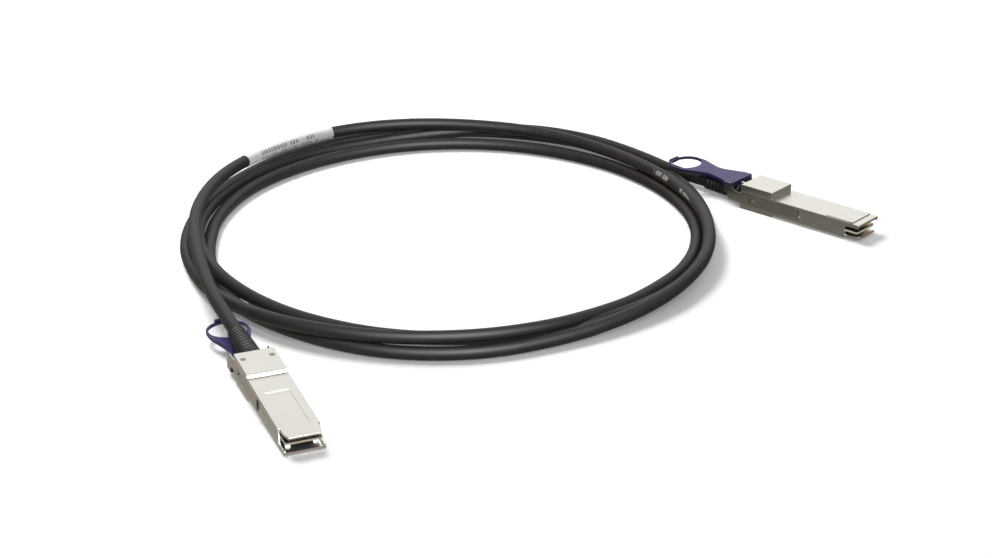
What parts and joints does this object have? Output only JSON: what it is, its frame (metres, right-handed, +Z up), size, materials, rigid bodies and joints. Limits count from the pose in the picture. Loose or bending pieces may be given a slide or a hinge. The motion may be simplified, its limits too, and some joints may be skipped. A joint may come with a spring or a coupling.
{
  "type": "direct attach copper cable",
  "caption": "Coiled black twinax cable with a ribbed boot and a metal pluggable connector at each end, each with a dark finger tab that draws its latch slide back.",
  "frame": {"origin": "on the surface it lies on, under the middle of the box round both plugs", "axes": "+Z up, +X to the far plug's side, -Y towards the near plug's mouth"},
  "size_m": [0.3549, 0.3824, 0.0182],
  "materials": {
    "die_cast": "satin plated zinc",
    "board": "satin",
    "gold": "polished",
    "chip": "matte",
    "brass_ring": "satin",
    "moulding": "matte",
    "wire_jacket": "satin",
    "boot_rubber": "matte",
    "sheet_steel": "satin",
    "tab_rubber": "satin",
    "screw_steel": "satin",
    "spring_steel": "polished",
    "cable_jacket": "semi-gloss",
    "label_film": "satin"
  },
  "bodies": {
    "cable_and_plugs": {"plug_a_shell": "die_cast", "plug_a_cover": "die_cast", "plug_a_paddle_card": "board", "plug_a_contacts": "gold", "plug_a_memory_chip": "chip", "plug_a_crimp_ring": "brass_ring", "plug_a_wire_fan": "moulding", "plug_a_twin_wires": "wire_jacket", "plug_a_boot": "boot_rubber", "plug_a_screw_left": "screw_steel", "plug_a_screw_right": "screw_steel", "plug_a_pin_left": "screw_steel", "plug_a_pin_right": "screw_steel", "plug_a_spring_left": "spring_steel", "plug_a_spring_right": "spring_steel", "plug_b_shell": "die_cast", "plug_b_cover": "die_cast", "plug_b_paddle_card": "board", "plug_b_contacts": "gold", "plug_b_memory_chip": "chip", "plug_b_crimp_ring": "brass_ring", "plug_b_wire_fan": "moulding", "plug_b_twin_wires": "wire_jacket", "plug_b_boot": "boot_rubber", "plug_b_screw_left": "screw_steel", "plug_b_screw_right": "screw_steel", "plug_b_pin_left": "screw_steel", "plug_b_pin_right": "screw_steel", "plug_b_spring_left": "spring_steel", "plug_b_spring_right": "spring_steel", "cable_coil": "cable_jacket", "cable_tail_a": "cable_jacket", "cable_tail_b": "cable_jacket", "cable_label": "label_film"},
    "latch_a": {"plug_a_latch": "sheet_steel", "plug_a_pull_tab": "tab_rubber"},
    "latch_b": {"plug_b_latch": "sheet_steel", "plug_b_pull_tab": "tab_rubber"}
  },
  "joints": [
    {"name": "latch_a_pull", "type": "slide", "parent": "cable_and_plugs", "child": "latch_a", "axis": [-0.3835, 0.9212, 0.0659], "range_m": [0, 0.0025], "stiffness_N_per_m": 800, "springref_m": -0.002, "deforming": ["plug_a_spring_left", "plug_a_spring_right"]},
    {"name": "latch_b_pull", "type": "slide", "parent": "cable_and_plugs", "child": "latch_b", "axis": [-0.7513, 0.66, 0], "range_m": [0, 0.0025], "stiffness_N_per_m": 800, "springref_m": -0.002, "deforming": ["plug_b_spring_left", "plug_b_spring_right"]}
  ]
}
